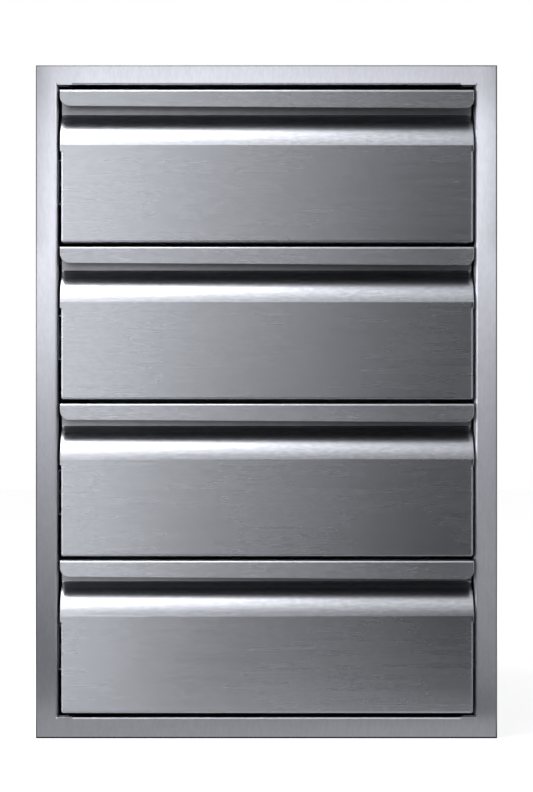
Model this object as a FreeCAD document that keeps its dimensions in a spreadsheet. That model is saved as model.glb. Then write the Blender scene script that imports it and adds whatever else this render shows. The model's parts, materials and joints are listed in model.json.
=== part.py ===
import FreeCAD, Part
import math
import os
import re

import Sketcher

V = FreeCAD.Vector

# Driving dimensions in millimetres. Depths are behind the drawers' front plane.
DRIVING = {
    "frame_width": 457.2,
    "frame_height": 667.2,
    "total_depth": 552.5,
    "opening_width": 414.9,
    "top_rail": 19.6,
    "bottom_rail": 21.3,
    "front_sheet": 1.2,
    "box_sheet": 1.0,
    "tray_sheet": 1.0,
    "outer_return": 9.5,
    "inner_return": 19.0,
    "notch_reach": 14.5,
    "notch_lap": 1.0,
    "edge_strip": 4.0,
    "outer_bend": 1.2,
    "inner_bend": 2.2,
    "panel_flange": 12.0,
    "box_gap": 0.8,
    "flange_gap": 3.0,
    "drawer_proud": 2.0,
    "drawer_width": 409.8,
    "front_shift": 0.45,
    "drawer_height": 151.3,
    "drawer_pitch": 155.45,
    "top_gap": 4.8,
    "flat_top": 55.3,
    "flat_relief": 61.0,
    "flat_inset_left": 1.0,
    "flat_inset_right": 0.5,
    "scoop_depth": 26.0,
    "scoop_radius": 47.5,
    "scoop_angle": 57.0,
    "lean_angle": 14.0,
    "lean_length": 19.1,
    "crease_bend": 3.0,
    "lip_left": 16.1,
    "lip_right": 18.6,
    "lip_corner": 9.0,
    "pan_bend": 2.2,
    "tray_drop": 39.3,
    "tray_height": 100.0,
    "tray_depth": 500.0,
    "tray_hem": 9.0,
    "hem_thickness": 2.2,
    "tray_bend": 3.0,
    "slide_gap": 12.7,
    "slide_start": 29.5,
    "slide_length": 508.0,
    "slide_axis": 89.3,
    "slide_wall": 1.2,
    "slide_bend": 1.7,
    "outer_half": 22.5,
    "outer_depth": 9.6,
    "middle_half": 18.0,
    "middle_near": 4.4,
    "middle_far": 11.0,
    "middle_late": 6.0,
    "middle_length": 490.0,
    "inner_half": 13.0,
    "inner_near": 7.6,
    "cage_length": 200.0,
    "cage_wall": 0.9,
    "cage_bend": 1.25,
    "outer_cage_start": 180.0,
    "inner_cage_start": 185.0,
    "outer_ball": 1.35,
    "inner_ball": 1.6,
    "ball_play": 0.05,
    "ball_pitch": 40.0,
    "screw_shank": 2.0,
    "screw_head": 4.0,
    "screw_head_height": 0.9,
    "screw_reach": 3.0,
    "front_screw_reach": 6.0,
    "front_screw_head": 1.8,
    "cap_clear": 0.3,
    "cap_lap": 12.0,
    "liner_inset": 0.5,
    "inner_length": 494.0,
    "outer_cage_near": 2.5,
    "outer_cage_far": 8.2,
    "outer_ball_depth": 6.0,
    "inner_cage_near": 6.2,
    "inner_cage_far": 11.2,
    "inner_ball_depth": 9.4,
    "stop_gap": 0.5,
    "stop_far": 9.0,
    "mount_hole": 2.75,
    "mount_front": 67.5,
    "mount_spacing": 400.0,
    "cut_over": 1.0,
    "drill_over": 3.0,
}

# Lengths that follow from the driving ones.
DERIVED = {
    "half_frame": "frame_width / 2",
    "half_opening": "opening_width / 2",
    "opening_top": "frame_height - top_rail",
    "slide_face": "half_opening + front_sheet",
    "half_box": "slide_face + box_sheet",
    "box_top": "opening_top + front_sheet",
    "box_floor": "bottom_rail - front_sheet",
    "box_start": "drawer_proud + front_sheet + box_gap",
    "flange_start": "drawer_proud + inner_return + flange_gap",
    "half_drawer": "drawer_width / 2",
    "half_tray": "slide_face - slide_gap",
    "skin_depth": "scoop_depth + front_sheet",
    "tray_front": "skin_depth + box_sheet",
    "tray_floor": "tray_drop + tray_height",
    "pan_left": "-half_drawer + flat_inset_left",
    "pan_right": "half_drawer - flat_inset_right",
    "slide_end": "slide_start + slide_length",
    "stop_start": "slide_start + middle_late + middle_length + stop_gap",
    "outer_ball_height": "(outer_half - slide_wall + middle_half) / 2",
    "inner_ball_height": "(middle_half - slide_wall + inner_half) / 2",
}

DRAWERS = (1, 2, 3, 4)
SIDES = {"left": -1, "right": 1}
BALLS = 5
CAP_ARC_STEPS = 4
MOUNT_GAPS = (1, 3)

# Tests on edges: a distance that counts as touching, and a cosine that counts as along.
TOUCH = 0.01
BEND_TOUCH = 0.05
BEND_REACH = 2.0
ALONG = 0.9

# New sketch lines stand on a ring of this radius until their sizes are bound.
DRAFT_RING = 10.0

# Screw places: depth behind the front plane, and height or width beside it.
SLIDE_SCREW_DEPTHS = (45.0, 260.0, 500.0)
FRONT_SCREW_PLACES = ((-140.0, -60.0), (140.0, -60.0), (-140.0, -120.0), (140.0, -120.0))

doc = FreeCAD.newDocument("drawer_unit")
sheet = doc.addObject("Spreadsheet::Sheet", "sizes")
for row, (alias, size) in enumerate(DRIVING.items(), start=1):
    sheet.set(f"A{row}", alias)
    sheet.set(f"B{row}", str(size))
    sheet.setAlias(f"B{row}", alias)
doc.recompute()

nodes = []


def full(text):
    """Write out a formula of size names as one that the document can read."""

    def swap(match):
        word = match.group(0)
        if word in DERIVED:
            return f"({full(DERIVED[word])})"
        return f"sizes.{word}" if word in DRIVING else word

    return re.sub(r"[a-z][a-z_]*", swap, str(text))


def bind(thing, target, text):
    thing.setExpression(target, full(text))


def keep(thing, label):
    """Give a finished piece its own name and list it for writing."""
    thing.Label = label
    nodes.append(thing)
    return thing


def set_place(thing, x="0", y="0", z="0"):
    for axis, text in zip("xyz", (x, y, z)):
        bind(thing, f".Placement.Base.{axis}", text)


def drawer_top(number):
    return f"opening_top - top_gap - {number - 1} * drawer_pitch"


def set_in_drawer(thing, number, x="0"):
    """Put a piece that is drawn from the lip's top and the front plane."""
    set_place(thing, x=x, y="-total_depth / 2", z=drawer_top(number))


def origin_plane(body, role):
    return next(f for f in body.Origin.OriginFeatures if f.Role == role)


def draw_polygon(sketch, points, closed=True):
    """Lines through points whose coordinates are formulas, each bound by name."""
    first = sketch.GeometryCount
    count = len(points)
    turn = 2 * math.pi / count
    ring = [V(math.cos(i * turn), math.sin(i * turn), 0) * DRAFT_RING for i in range(count)]
    lines = count if closed else count - 1
    for i in range(lines):
        sketch.addGeometry(Part.LineSegment(ring[i], ring[(i + 1) % count]))
    for i in range(lines - 1):
        sketch.addConstraint(Sketcher.Constraint("Coincident", first + i, 2, first + i + 1, 1))
    if closed:
        last = first + lines - 1
        sketch.addConstraint(Sketcher.Constraint("Coincident", last, 2, first, 1))
    for i, (across, up) in enumerate(points):
        line, end = (first + i, 1) if i < lines else (first + i - 1, 2)
        for kind, text, at in (("DistanceX", across, ring[i].x), ("DistanceY", up, ring[i].y)):
            name = f"{kind[-1].lower()}{first + i}"
            index = sketch.addConstraint(Sketcher.Constraint(kind, -1, 1, line, end, at))
            sketch.renameConstraint(index, name)
            bind(sketch, f"Constraints.{name}", text)


def draw_circle(sketch, across, up, radius):
    at = sketch.GeometryCount
    sketch.addGeometry(Part.Circle(V(at + 1, at + 1, 0), V(0, 0, 1), 1))
    for kind, text, place in (("DistanceX", across, at + 1), ("DistanceY", up, at + 1)):
        name = f"{kind[-1].lower()}{at}"
        index = sketch.addConstraint(Sketcher.Constraint(kind, -1, 1, at, 3, place))
        sketch.renameConstraint(index, name)
        bind(sketch, f"Constraints.{name}", text)
    index = sketch.addConstraint(Sketcher.Constraint("Radius", at, 1))
    sketch.renameConstraint(index, f"radius{at}")
    bind(sketch, f"Constraints.radius{at}", radius)


def rectangle(left, right, low, high):
    return [(left, low), (right, low), (right, high), (left, high)]


def sketch_on(body, name, role, start):
    """A sketch on one of the body's origin planes, moved along +X, +Y or +Z by start."""
    sketch = body.newObject("Sketcher::SketchObject", name)
    sketch.AttachmentSupport = [(origin_plane(body, role), "")]
    sketch.MapMode = "FlatFace"
    sign = "-" if role == "XZ_Plane" else ""
    bind(sketch, ".AttachmentOffset.Base.z", f"{sign}({start})")
    return sketch


def pad(body, name, role, start, length, loops=(), circles=()):
    """Closed outlines or discs on a plane, made solid from start along +X, +Y or +Z."""
    sketch = sketch_on(body, f"{name}_sketch", role, start)
    for loop in loops:
        draw_polygon(sketch, loop)
    for across, up, radius in circles:
        draw_circle(sketch, across, up, radius)
    feature = body.newObject("PartDesign::Pad", name)
    feature.Profile = sketch
    feature.Reversed = role == "XZ_Plane"
    bind(feature, "Length", length)
    return feature


def pocket(body, name, role, start, length, loops=(), circles=()):
    """Outlines or round holes cut from start along +X, +Y or +Z."""
    sketch = sketch_on(body, f"{name}_sketch", role, start)
    for loop in loops:
        draw_polygon(sketch, loop)
    for across, up, radius in circles:
        draw_circle(sketch, across, up, radius)
    feature = body.newObject("PartDesign::Pocket", name)
    feature.Profile = sketch
    feature.Reversed = role != "XZ_Plane"
    bind(feature, "Length", length)
    return feature


def edges_where(shape, test):
    """Names of a shape's straight edges whose middle and direction pass a test."""
    found = []
    for index, edge in enumerate(shape.Edges, start=1):
        if edge.Degenerated or edge.Curve.TypeId != "Part::GeomLine":
            continue
        middle = edge.valueAt((edge.FirstParameter + edge.LastParameter) / 2)
        along = edge.tangentAt(edge.FirstParameter)
        if test(middle, along):
            found.append(f"Edge{index}")
    return found


def round_edges(body, name, test, radius):
    doc.recompute()
    last = body.Tip
    edges = edges_where(last.Shape, test)
    feature = body.newObject("PartDesign::Fillet", name)
    feature.Base = (last, edges)
    bind(feature, "Radius", radius)
    return feature


def new_body(name):
    return doc.addObject("PartDesign::Body", name)


def group(name, things):
    compound = doc.addObject("Part::Compound", name)
    compound.Links = things
    return compound


def near(value, target):
    return abs(value - target) < TOUCH


# The face frame is one sheet, bent back at its outer rim and round the opening. The
# bends are rounded on a solid block first, and the block is hollowed from behind.
def make_face_frame():
    body = new_body("frame_body")
    rim = rectangle("-half_frame", "half_frame", "0", "frame_height")
    opening = rectangle("-half_opening", "half_opening", "bottom_rail", "opening_top")
    pad(body, "frame_block", "XZ_Plane", "0", "outer_return", [rim, opening])
    half_frame = DRIVING["frame_width"] / 2
    height = DRIVING["frame_height"]

    def outer_front(middle, along):
        at_rim = near(abs(middle.x), half_frame) or near(middle.z, 0) or near(middle.z, height)
        return near(middle.y, 0) and at_rim

    def opening_front(middle, along):
        inside = abs(middle.x) < half_frame - TOUCH and TOUCH < middle.z < height - TOUCH
        return near(middle.y, 0) and inside

    round_edges(body, "frame_outer_bend", outer_front, "outer_bend")
    round_edges(body, "frame_inner_bend", opening_front, "inner_bend")
    inside_rim = rectangle("-half_frame + front_sheet", "half_frame - front_sheet",
                           "front_sheet", "frame_height - front_sheet")
    round_opening = rectangle("-slide_face", "slide_face", "box_floor", "box_top")
    pocket(body, "frame_hollow", "XZ_Plane", "front_sheet", "outer_return",
           loops=[inside_rim, round_opening])
    pad(body, "frame_collar", "XZ_Plane", "inner_bend", "inner_return - inner_bend",
        [round_opening, opening])
    notches = []
    plain_edges = []
    for sign in SIDES.values():
        near_x = f"{sign} * (half_opening - notch_reach)"
        far_x = f"{sign} * half_opening"
        notches.append(rectangle(near_x, far_x, "box_floor - notch_lap", "bottom_rail + notch_lap"))
        notches.append(rectangle(near_x, far_x, "opening_top - notch_lap",
                                 "box_top + notch_lap"))
        plain_edges.append(rectangle(near_x, far_x, "bottom_rail - edge_strip", "bottom_rail"))
        plain_edges.append(rectangle(near_x, far_x, "opening_top", "opening_top + edge_strip"))
    pocket(body, "frame_notches", "XZ_Plane", "front_sheet", "inner_return", loops=notches)
    pad(body, "frame_plain_edges", "XZ_Plane", "0", "front_sheet", plain_edges)
    set_place(body, y="drawer_proud - total_depth / 2")
    keep(body, "face_frame")


# Cabinet sides are sheets with flanges turned in at the top, bottom and back.
def make_cabinet_side(side, sign):
    body = new_body(f"{side}_side_body")
    low, high = "box_floor - box_sheet", "box_top + box_sheet"
    wall = rectangle(f"{sign} * slide_face", f"{sign} * half_box", low, high)
    pad(body, f"{side}_wall", "XZ_Plane", "box_start", "total_depth - box_start - box_sheet", [wall])
    tip_x = f"{sign} * (slide_face - panel_flange)"
    for name, foot, crown in (("top", "box_top", high), ("bottom", low, "box_floor")):
        flange = rectangle(tip_x, f"{sign} * half_box", foot, crown)
        pad(body, f"{side}_{name}_flange", "XZ_Plane", "flange_start",
            "total_depth - flange_start - box_sheet", [flange])
    back = rectangle(tip_x, f"{sign} * half_box", low, high)
    pad(body, f"{side}_back_flange", "XZ_Plane", "total_depth - 2 * box_sheet", "box_sheet", [back])
    half_box = DRIVING["opening_width"] / 2 + DRIVING["front_sheet"] + DRIVING["box_sheet"]
    rear = DRIVING["total_depth"] - DRIVING["box_sheet"]

    def rear_corner(middle, along):
        return near(abs(middle.x), half_box) and near(middle.y, rear) and abs(along.z) > ALONG

    round_edges(body, f"{side}_rear_bend", rear_corner, "box_sheet")
    holes = []
    screws = []
    for gap in MOUNT_GAPS:
        up = f"opening_top - top_gap - slide_axis - {gap - 0.5} * drawer_pitch"
        holes.append(("mount_front", up, "mount_hole"))
        holes.append(("mount_front + mount_spacing", up, "mount_hole"))
    for number in DRAWERS:
        up = f"{drawer_top(number)} - slide_axis"
        screws.extend((str(depth), up, "screw_shank") for depth in SLIDE_SCREW_DEPTHS)
    start = f"{sign} * (slide_face + box_sheet / 2) - drill_over"
    pocket(body, f"{side}_holes", "YZ_Plane", start, "2 * drill_over", circles=holes + screws)
    set_place(body, y="-total_depth / 2")
    keep(body, f"cabinet_{side}_side")


# Flat sheets lie on the flanges of the sides and close the box.
def make_cabinet_panel(label, low, high, start, length):
    body = new_body(f"{label}_body")
    outline = rectangle("-half_box", "half_box", low, high)
    pad(body, f"{label}_sheet", "XZ_Plane", start, length, [outline])
    set_place(body, y="-total_depth / 2")
    keep(body, label)


# A drawer's front skin: lip, top, recess wall and scoop are one fold, and the flat
# front below them is a shallow pan with its sides and bottom turned back. A crease
# parts the flat from the scoop, which leans back from it and curves into the slope.
SLOPE = "cos(scoop_angle * 1 deg) / sin(scoop_angle * 1 deg)"
LEAN_DEPTH = "lean_length * sin(lean_angle * 1 deg)"
LEAN_TOP = "-flat_top + lean_length * cos(lean_angle * 1 deg)"
RECESS_FOOT = f"{LEAN_TOP} + (scoop_depth - {LEAN_DEPTH}) * {SLOPE}"
ARC_RISE = "(lean_length - scoop_radius * tan((scoop_angle - lean_angle) / 2 * 1 deg))"
CENTRE_DEPTH = f"{ARC_RISE} * sin(lean_angle * 1 deg) + scoop_radius * cos(lean_angle * 1 deg)"
CENTRE_HEIGHT = f"-flat_top + {ARC_RISE} * cos(lean_angle * 1 deg) - scoop_radius * sin(lean_angle * 1 deg)"


def make_fold(number):
    """The skin's upper part, extruded from the line of its visible side."""
    path = doc.addObject("Sketcher::SketchObject", f"fold_path_{number}")
    path.Placement = FreeCAD.Placement(V(0, 0, 0), FreeCAD.Rotation(V(1, 1, 1), 120))
    draw_polygon(path, [
        ("0", "-flat_relief"),
        ("0", "-flat_top"),
        (LEAN_DEPTH, LEAN_TOP),
        ("scoop_depth", RECESS_FOOT),
        ("scoop_depth", "-front_sheet"),
        ("front_sheet", "-front_sheet"),
        ("front_sheet", "-lip_right"),
    ], closed=False)
    section = doc.addObject("Part::Offset2D", f"fold_section_{number}")
    section.Source = path
    section.Mode = "Skin"
    section.Join = "Intersection"
    section.Fill = True
    bind(section, "Value", "front_sheet")
    fold = doc.addObject("Part::Extrusion", f"fold_{number}")
    fold.Base = section
    fold.DirMode = "Custom"
    fold.Dir = V(1, 0, 0)
    fold.Solid = True
    fold.Symmetric = True
    bind(fold, "LengthFwd", "drawer_width")
    doc.recompute()
    return fold, [line.EndPoint for line in path.Geometry[:5]]


def round_bend(body, name, corner, seen_radius, hidden_radius, seen_first):
    """Round both faces of a sheet's bend, the hollow one first."""

    def seen(middle, along):
        away = math.hypot(middle.y - corner.x, middle.z - corner.y)
        return abs(along.x) > ALONG and away < BEND_TOUCH

    def hidden(middle, along):
        away = math.hypot(middle.y - corner.x, middle.z - corner.y)
        return abs(along.x) > ALONG and BEND_TOUCH < away < BEND_REACH

    steps = [("seen", seen, seen_radius), ("hidden", hidden, hidden_radius)]
    for word, test, radius in steps if seen_first else reversed(steps):
        round_edges(body, f"{name}_{word}", test, radius)


def make_upper_skin(number):
    fold, corners = make_fold(number)
    body = new_body(f"upper_body_{number}")
    body.BaseFeature = fold
    crease, slope, *square = corners
    for name, corner, radius in (("slope", slope, "scoop_radius"), ("crease", crease, "crease_bend")):
        round_bend(body, f"{name}_bend_{number}", corner, radius, f"{radius} - front_sheet", False)
    for name, corner in zip(("foot", "top", "lip"), square):
        round_bend(body, f"{name}_bend_{number}", corner, "front_sheet", "2 * front_sheet", True)
    left, right = "-half_drawer - cut_over", "half_drawer + cut_over"
    trim = [(left, "-lip_left"), (right, "-lip_right"),
            (right, "-lip_right - cut_over"), (left, "-lip_right - cut_over")]
    pocket(body, f"lip_taper_{number}", "XZ_Plane", "-cut_over", "3 * front_sheet", loops=[trim])
    half = DRIVING["drawer_width"] / 2
    foot_low = -DRIVING["lip_right"] - TOUCH
    foot_high = -DRIVING["lip_left"] + TOUCH

    def lip_corner(middle, along):
        at_foot = foot_low < middle.z < foot_high
        return abs(along.y) > ALONG and near(abs(middle.x), half) and at_foot

    round_edges(body, f"lip_corners_{number}", lip_corner, "lip_corner")
    return body


def make_pan(number):
    body = new_body(f"pan_body_{number}")
    low, high = "-drawer_height", "-flat_relief"
    block = rectangle("pan_left", "pan_right", low, high)
    pad(body, f"pan_block_{number}", "XZ_Plane", "0", "skin_depth", [block])
    floor = -DRIVING["drawer_height"]

    def pan_edge(middle, along):
        front = near(middle.y, 0) and (abs(along.z) > ALONG or near(middle.z, floor))
        return front or (near(middle.z, floor) and abs(along.y) > ALONG)

    round_edges(body, f"pan_bend_{number}", pan_edge, "pan_bend")
    hollow = rectangle("pan_left + front_sheet", "pan_right - front_sheet",
                       f"{low} + front_sheet", f"{high} + cut_over")
    pocket(body, f"pan_hollow_{number}", "XZ_Plane", "front_sheet", "skin_depth", loops=[hollow])
    return body


def make_front_skin(number):
    skin = doc.addObject("Part::Fuse", f"front_skin_{number}")
    skin.Base = make_upper_skin(number)
    skin.Tool = make_pan(number)
    skin.Refine = True
    set_in_drawer(skin, number, x="front_shift")
    keep(skin, f"drawer_{number}_front_skin")


# The liner closes the skin from behind, and a cap closes each end of its hollow.
def make_front_liner(number):
    body = new_body(f"liner_body_{number}")
    outline = rectangle("pan_left + front_shift + liner_inset", "pan_right + front_shift - liner_inset",
                        "-drawer_height + liner_inset", "-liner_inset")
    pad(body, f"liner_{number}", "XZ_Plane", "skin_depth", "box_sheet", [outline])
    holes = [(str(x), str(z), "screw_shank") for x, z in FRONT_SCREW_PLACES]
    pocket(body, f"liner_holes_{number}", "XZ_Plane", "skin_depth - drill_over", "2 * drill_over",
           circles=holes)
    set_in_drawer(body, number)
    keep(body, f"drawer_{number}_front_liner")


def make_end_caps(number):
    reach = "(scoop_radius - front_sheet - cap_clear)"
    outline = []
    for step in range(CAP_ARC_STEPS + 1):
        angle = f"((lean_angle + (scoop_angle - lean_angle) * {step / CAP_ARC_STEPS}) * 1 deg)"
        outline.append((f"{CENTRE_DEPTH} - {reach} * cos({angle})",
                        f"{CENTRE_HEIGHT} + {reach} * sin({angle})"))
    last_y, last_z = outline[-1]
    back = "skin_depth - cap_clear"
    foot = "-flat_relief - cap_lap"
    outline.append((back, f"{last_z} + ({back} - ({last_y})) * {SLOPE}"))
    outline.append((back, foot))
    outline.append(("front_sheet + cap_clear", foot))
    caps = []
    starts = {"left": "pan_left + front_sheet", "right": "pan_right - front_sheet - box_sheet"}
    for side, start in starts.items():
        cap = new_body(f"cap_{side}_{number}")
        pad(cap, f"cap_plate_{side}_{number}", "YZ_Plane", start, "box_sheet", [outline])
        caps.append(cap)
    pair = group(f"end_caps_{number}", caps)
    set_in_drawer(pair, number, x="front_shift")
    keep(pair, f"drawer_{number}_end_caps")


# A tray is one folded sheet with a hem along its top edge.
def tray_outline(inset):
    return rectangle(f"-half_tray + {inset}", f"half_tray - {inset}",
                     f"tray_front + {inset}", f"tray_front + tray_depth - {inset}")


def make_tray(number):
    body = new_body(f"tray_body_{number}")
    outside, inside, hem = (tray_outline(i) for i in ("0", "tray_sheet", "hem_thickness"))
    pad(body, f"tray_walls_{number}", "XY_Plane", "-tray_floor", "tray_height", [outside, inside])
    pad(body, f"tray_bottom_{number}", "XY_Plane", "-tray_floor", "tray_sheet", [outside])
    pad(body, f"tray_hem_{number}", "XY_Plane", "-tray_drop - tray_hem", "tray_hem", [outside, hem])
    floor = -DRIVING["tray_drop"] - DRIVING["tray_height"]
    sheet_floor = floor + DRIVING["tray_sheet"]

    def hollow_edge(middle, along):
        return near(middle.z, sheet_floor) and abs(along.y) > ALONG

    def outer_edge(middle, along):
        return near(middle.z, floor) and abs(along.y) > ALONG

    round_edges(body, f"tray_hollow_bend_{number}", hollow_edge, "tray_bend - tray_sheet")
    round_edges(body, f"tray_outer_bend_{number}", outer_edge, "tray_bend")
    fronts = [(str(x), str(z), "screw_shank") for x, z in FRONT_SCREW_PLACES]
    pocket(body, f"tray_front_holes_{number}", "XZ_Plane", "tray_front - drill_over",
           "2 * drill_over", circles=fronts)
    pocket(body, f"tray_side_holes_{number}", "YZ_Plane", "-half_tray - cut_over",
           "2 * (half_tray + cut_over)",
           circles=slide_screw_circles("screw_shank"))
    set_in_drawer(body, number)
    keep(body, f"drawer_{number}_tray")


# Slides are channels on both sides of a tray. Distances across a slide are counted
# from the cabinet side inwards, and heights from the slide's middle.
def slide_screw_circles(radius):
    return [(str(depth), "-slide_axis", radius) for depth in SLIDE_SCREW_DEPTHS]


def channel_outline(sign, half, back, wall, tip, inward):
    """A channel: its back sheet, and two legs that reach from it to the tip."""
    web = f"{back} + {wall}" if inward else f"{back} - {wall}"
    points = [(back, f"-{half}"), (tip, f"-{half}"), (tip, f"-{half} + {wall}"),
              (web, f"-{half} + {wall}"), (web, f"{half} - {wall}"), (tip, f"{half} - {wall}"),
              (tip, half), (back, half)]
    return [(f"{sign} * (slide_face - ({across}))", f"{up} - slide_axis") for across, up in points]


def make_channel(name, sign, half, back, tip, start, length, inward=True, metal="slide"):
    body = new_body(f"{name}_body")
    outline = channel_outline(sign, f"({half})", back, f"{metal}_wall", tip, inward)
    pad(body, f"{name}_channel", "XZ_Plane", start, length, [outline])
    doc.recompute()
    box = body.Shape.BoundBox
    backs_high = (sign > 0) == inward
    back_x = box.XMax if backs_high else box.XMin

    def back_edge(middle, along):
        return abs(along.y) > ALONG and near(middle.x, back_x)

    round_edges(body, f"{name}_bends", back_edge, f"{metal}_bend")
    return body


def cut_across(body, name, sign, middle, circles):
    """Round holes through a slide's back sheet, whose middle is given across the slide."""
    start = f"{sign} * (slide_face - ({middle})) - drill_over"
    pocket(body, name, "YZ_Plane", start, "2 * drill_over", circles=circles)


def keep_pair(name, things, number, label):
    pair = group(name, things)
    set_in_drawer(pair, number)
    keep(pair, label)


def make_outer_slides(number):
    members = []
    for side, sign in SIDES.items():
        name = f"outer_{side}_{number}"
        member = make_channel(name, sign, "outer_half", "0", "outer_depth",
                              "slide_start", "slide_length")
        cut_across(member, f"{name}_holes", sign, "slide_wall / 2",
                   slide_screw_circles("screw_shank"))
        members.append(member)
    keep_pair(f"outer_slides_{number}", members, number, f"drawer_{number}_outer_slides")


def make_middle_slides(number):
    members = [make_channel(f"middle_{side}_{number}", sign, "middle_half", "middle_near",
                            "middle_far", "slide_start + middle_late", "middle_length")
               for side, sign in SIDES.items()]
    keep_pair(f"middle_slides_{number}", members, number, f"drawer_{number}_middle_slides")


def make_inner_slides(number):
    members = []
    for side, sign in SIDES.items():
        name = f"inner_{side}_{number}"
        member = make_channel(name, sign, "inner_half", "slide_gap", "inner_near",
                              "slide_start", "inner_length", inward=False)
        cut_across(member, f"{name}_holes", sign, "slide_gap - slide_wall / 2",
                   slide_screw_circles("screw_shank"))
        members.append(member)
    keep_pair(f"inner_slides_{number}", members, number, f"drawer_{number}_inner_slides")


# A cage is a thin channel whose legs hold the balls between two slide members.
def make_cages(number, level):
    pieces = []
    middle = f"{level}_cage_start + cage_length / 2"
    for side, sign in SIDES.items():
        name = f"{level}_cage_{side}_{number}"
        half = f"{level}_ball_height + cage_wall / 2"
        cage = make_channel(name, sign, half, f"{level}_cage_near", f"{level}_cage_far",
                            f"{level}_cage_start", "cage_length", metal="cage")
        across = f"{sign} * (slide_face - {level}_ball_depth)"
        places = [f"{middle} + {step} * ball_pitch" for step in range(-(BALLS // 2), BALLS // 2 + 1)]
        holes = [(across, place, f"{level}_ball + ball_play") for place in places]
        pocket(cage, f"{name}_holes", "XY_Plane", "-slide_axis - outer_half", "2 * outer_half",
               circles=holes)
        pieces.append(cage)
        for place in places:
            for up in ("+", "-"):
                ball = doc.addObject("Part::Sphere", f"{name}_ball")
                bind(ball, "Radius", f"{level}_ball")
                set_place(ball, across, place, f"-slide_axis {up} {level}_ball_height")
                pieces.append(ball)
    keep_pair(f"{level}_cages_{number}", pieces, number, f"drawer_{number}_{level}_ball_cages")


def make_slide_stops():
    """A rubber block at the back of each outer member, where the middle member ends."""
    blocks = []
    for number in DRAWERS:
        for side, sign in SIDES.items():
            block = new_body(f"stop_{side}_{number}")
            reach = f"({drawer_top(number)} - slide_axis)"
            tall = "(outer_half - slide_wall)"
            outline = rectangle(f"{sign} * (slide_face - slide_wall)",
                                f"{sign} * (slide_face - stop_far)",
                                f"{reach} - {tall}", f"{reach} + {tall}")
            pad(block, f"stop_block_{side}_{number}", "XZ_Plane", "stop_start",
                "slide_end - stop_start", [outline])
            blocks.append(block)
    stops = group("slide_stops_group", blocks)
    set_place(stops, y="-total_depth / 2")
    keep(stops, "slide_stops")


# Screws have a flat round head and a plain shank.
def make_screws(name, role, head, shank, places):
    body = new_body(name)
    body.AllowCompound = True
    for word, (start, length), radius in (("head", head, "screw_head"),
                                          ("shank", shank, "screw_shank")):
        circles = [(across, up, radius) for across, up in places]
        pad(body, f"{name}_{word}", role, start, length, circles=circles)
    return body


def span(sign, low, high):
    """Start and length along +X of a stretch across a slide."""
    start = f"slide_face - ({high})" if sign > 0 else f"-slide_face + ({low})"
    return start, f"({high}) - ({low})"


def make_cabinet_screws():
    rows = []
    for side, sign in SIDES.items():
        places = [(str(depth), f"{drawer_top(number)} - slide_axis")
                  for number in DRAWERS for depth in SLIDE_SCREW_DEPTHS]
        head = span(sign, "slide_wall", "slide_wall + screw_head_height")
        shank = span(sign, "-screw_reach", "slide_wall")
        rows.append(make_screws(f"cabinet_screws_{side}", "YZ_Plane", head, shank, places))
    screws = group("cabinet_screws", rows)
    set_place(screws, y="-total_depth / 2")
    keep(screws, "cabinet_slide_screws")


def make_drawer_screws(number):
    rows = []
    for side, sign in SIDES.items():
        places = [(str(depth), "-slide_axis") for depth in SLIDE_SCREW_DEPTHS]
        head = span(sign, "slide_gap - slide_wall - screw_head_height", "slide_gap - slide_wall")
        shank = span(sign, "slide_gap - slide_wall", "slide_gap + screw_reach")
        rows.append(make_screws(f"tray_screws_{side}_{number}", "YZ_Plane", head, shank, places))
    keep_pair(f"tray_screws_{number}", rows, number, f"drawer_{number}_slide_screws")
    places = [(str(x), str(z)) for x, z in FRONT_SCREW_PLACES]
    seat = "tray_front + tray_sheet"
    fronts = make_screws(f"front_screws_{number}", "XZ_Plane", (seat, "front_screw_head"),
                         (f"{seat} - front_screw_reach", "front_screw_reach"), places)
    set_in_drawer(fronts, number)
    keep(fronts, f"drawer_{number}_front_screws")


make_face_frame()
for side, sign in SIDES.items():
    make_cabinet_side(side, sign)
make_cabinet_panel("cabinet_top", "box_top + box_sheet", "box_top + 2 * box_sheet",
                   "box_start", "total_depth - box_start")
make_cabinet_panel("cabinet_bottom", "box_floor - 2 * box_sheet", "box_floor - box_sheet",
                   "box_start", "total_depth - box_start")
make_cabinet_panel("cabinet_back", "box_floor - box_sheet", "box_top + box_sheet",
                   "total_depth - box_sheet", "box_sheet")
make_slide_stops()
make_cabinet_screws()
for number in DRAWERS:
    make_front_skin(number)
    make_front_liner(number)
    make_end_caps(number)
    make_tray(number)
    make_outer_slides(number)
    make_middle_slides(number)
    make_inner_slides(number)
    make_cages(number, "outer")
    make_cages(number, "inner")
    make_drawer_screws(number)

doc.recompute()
for thing in doc.Objects:
    if "Invalid" in thing.State or "Error" in thing.State:
        raise SystemExit(f"{thing.Name} failed: {thing.getStatusString()}")
for thing in nodes:
    if thing.Shape.isNull() or not thing.Shape.isValid():
        raise SystemExit(f"{thing.Label} has no sound shape")

os.makedirs("parts", exist_ok=True)
for thing in nodes:
    thing.Shape.exportStep(f"parts/{thing.Label}.step")
    box = thing.Shape.BoundBox
    print(thing.Label, len(thing.Shape.Solids), round(thing.Shape.Volume),
          [round(edge, 2) for edge in (box.XMin, box.XMax, box.YMin, box.YMax, box.ZMin, box.ZMax)])
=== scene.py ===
import json
import math

import bmesh
import bpy
from mathutils import Matrix, Vector

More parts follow.
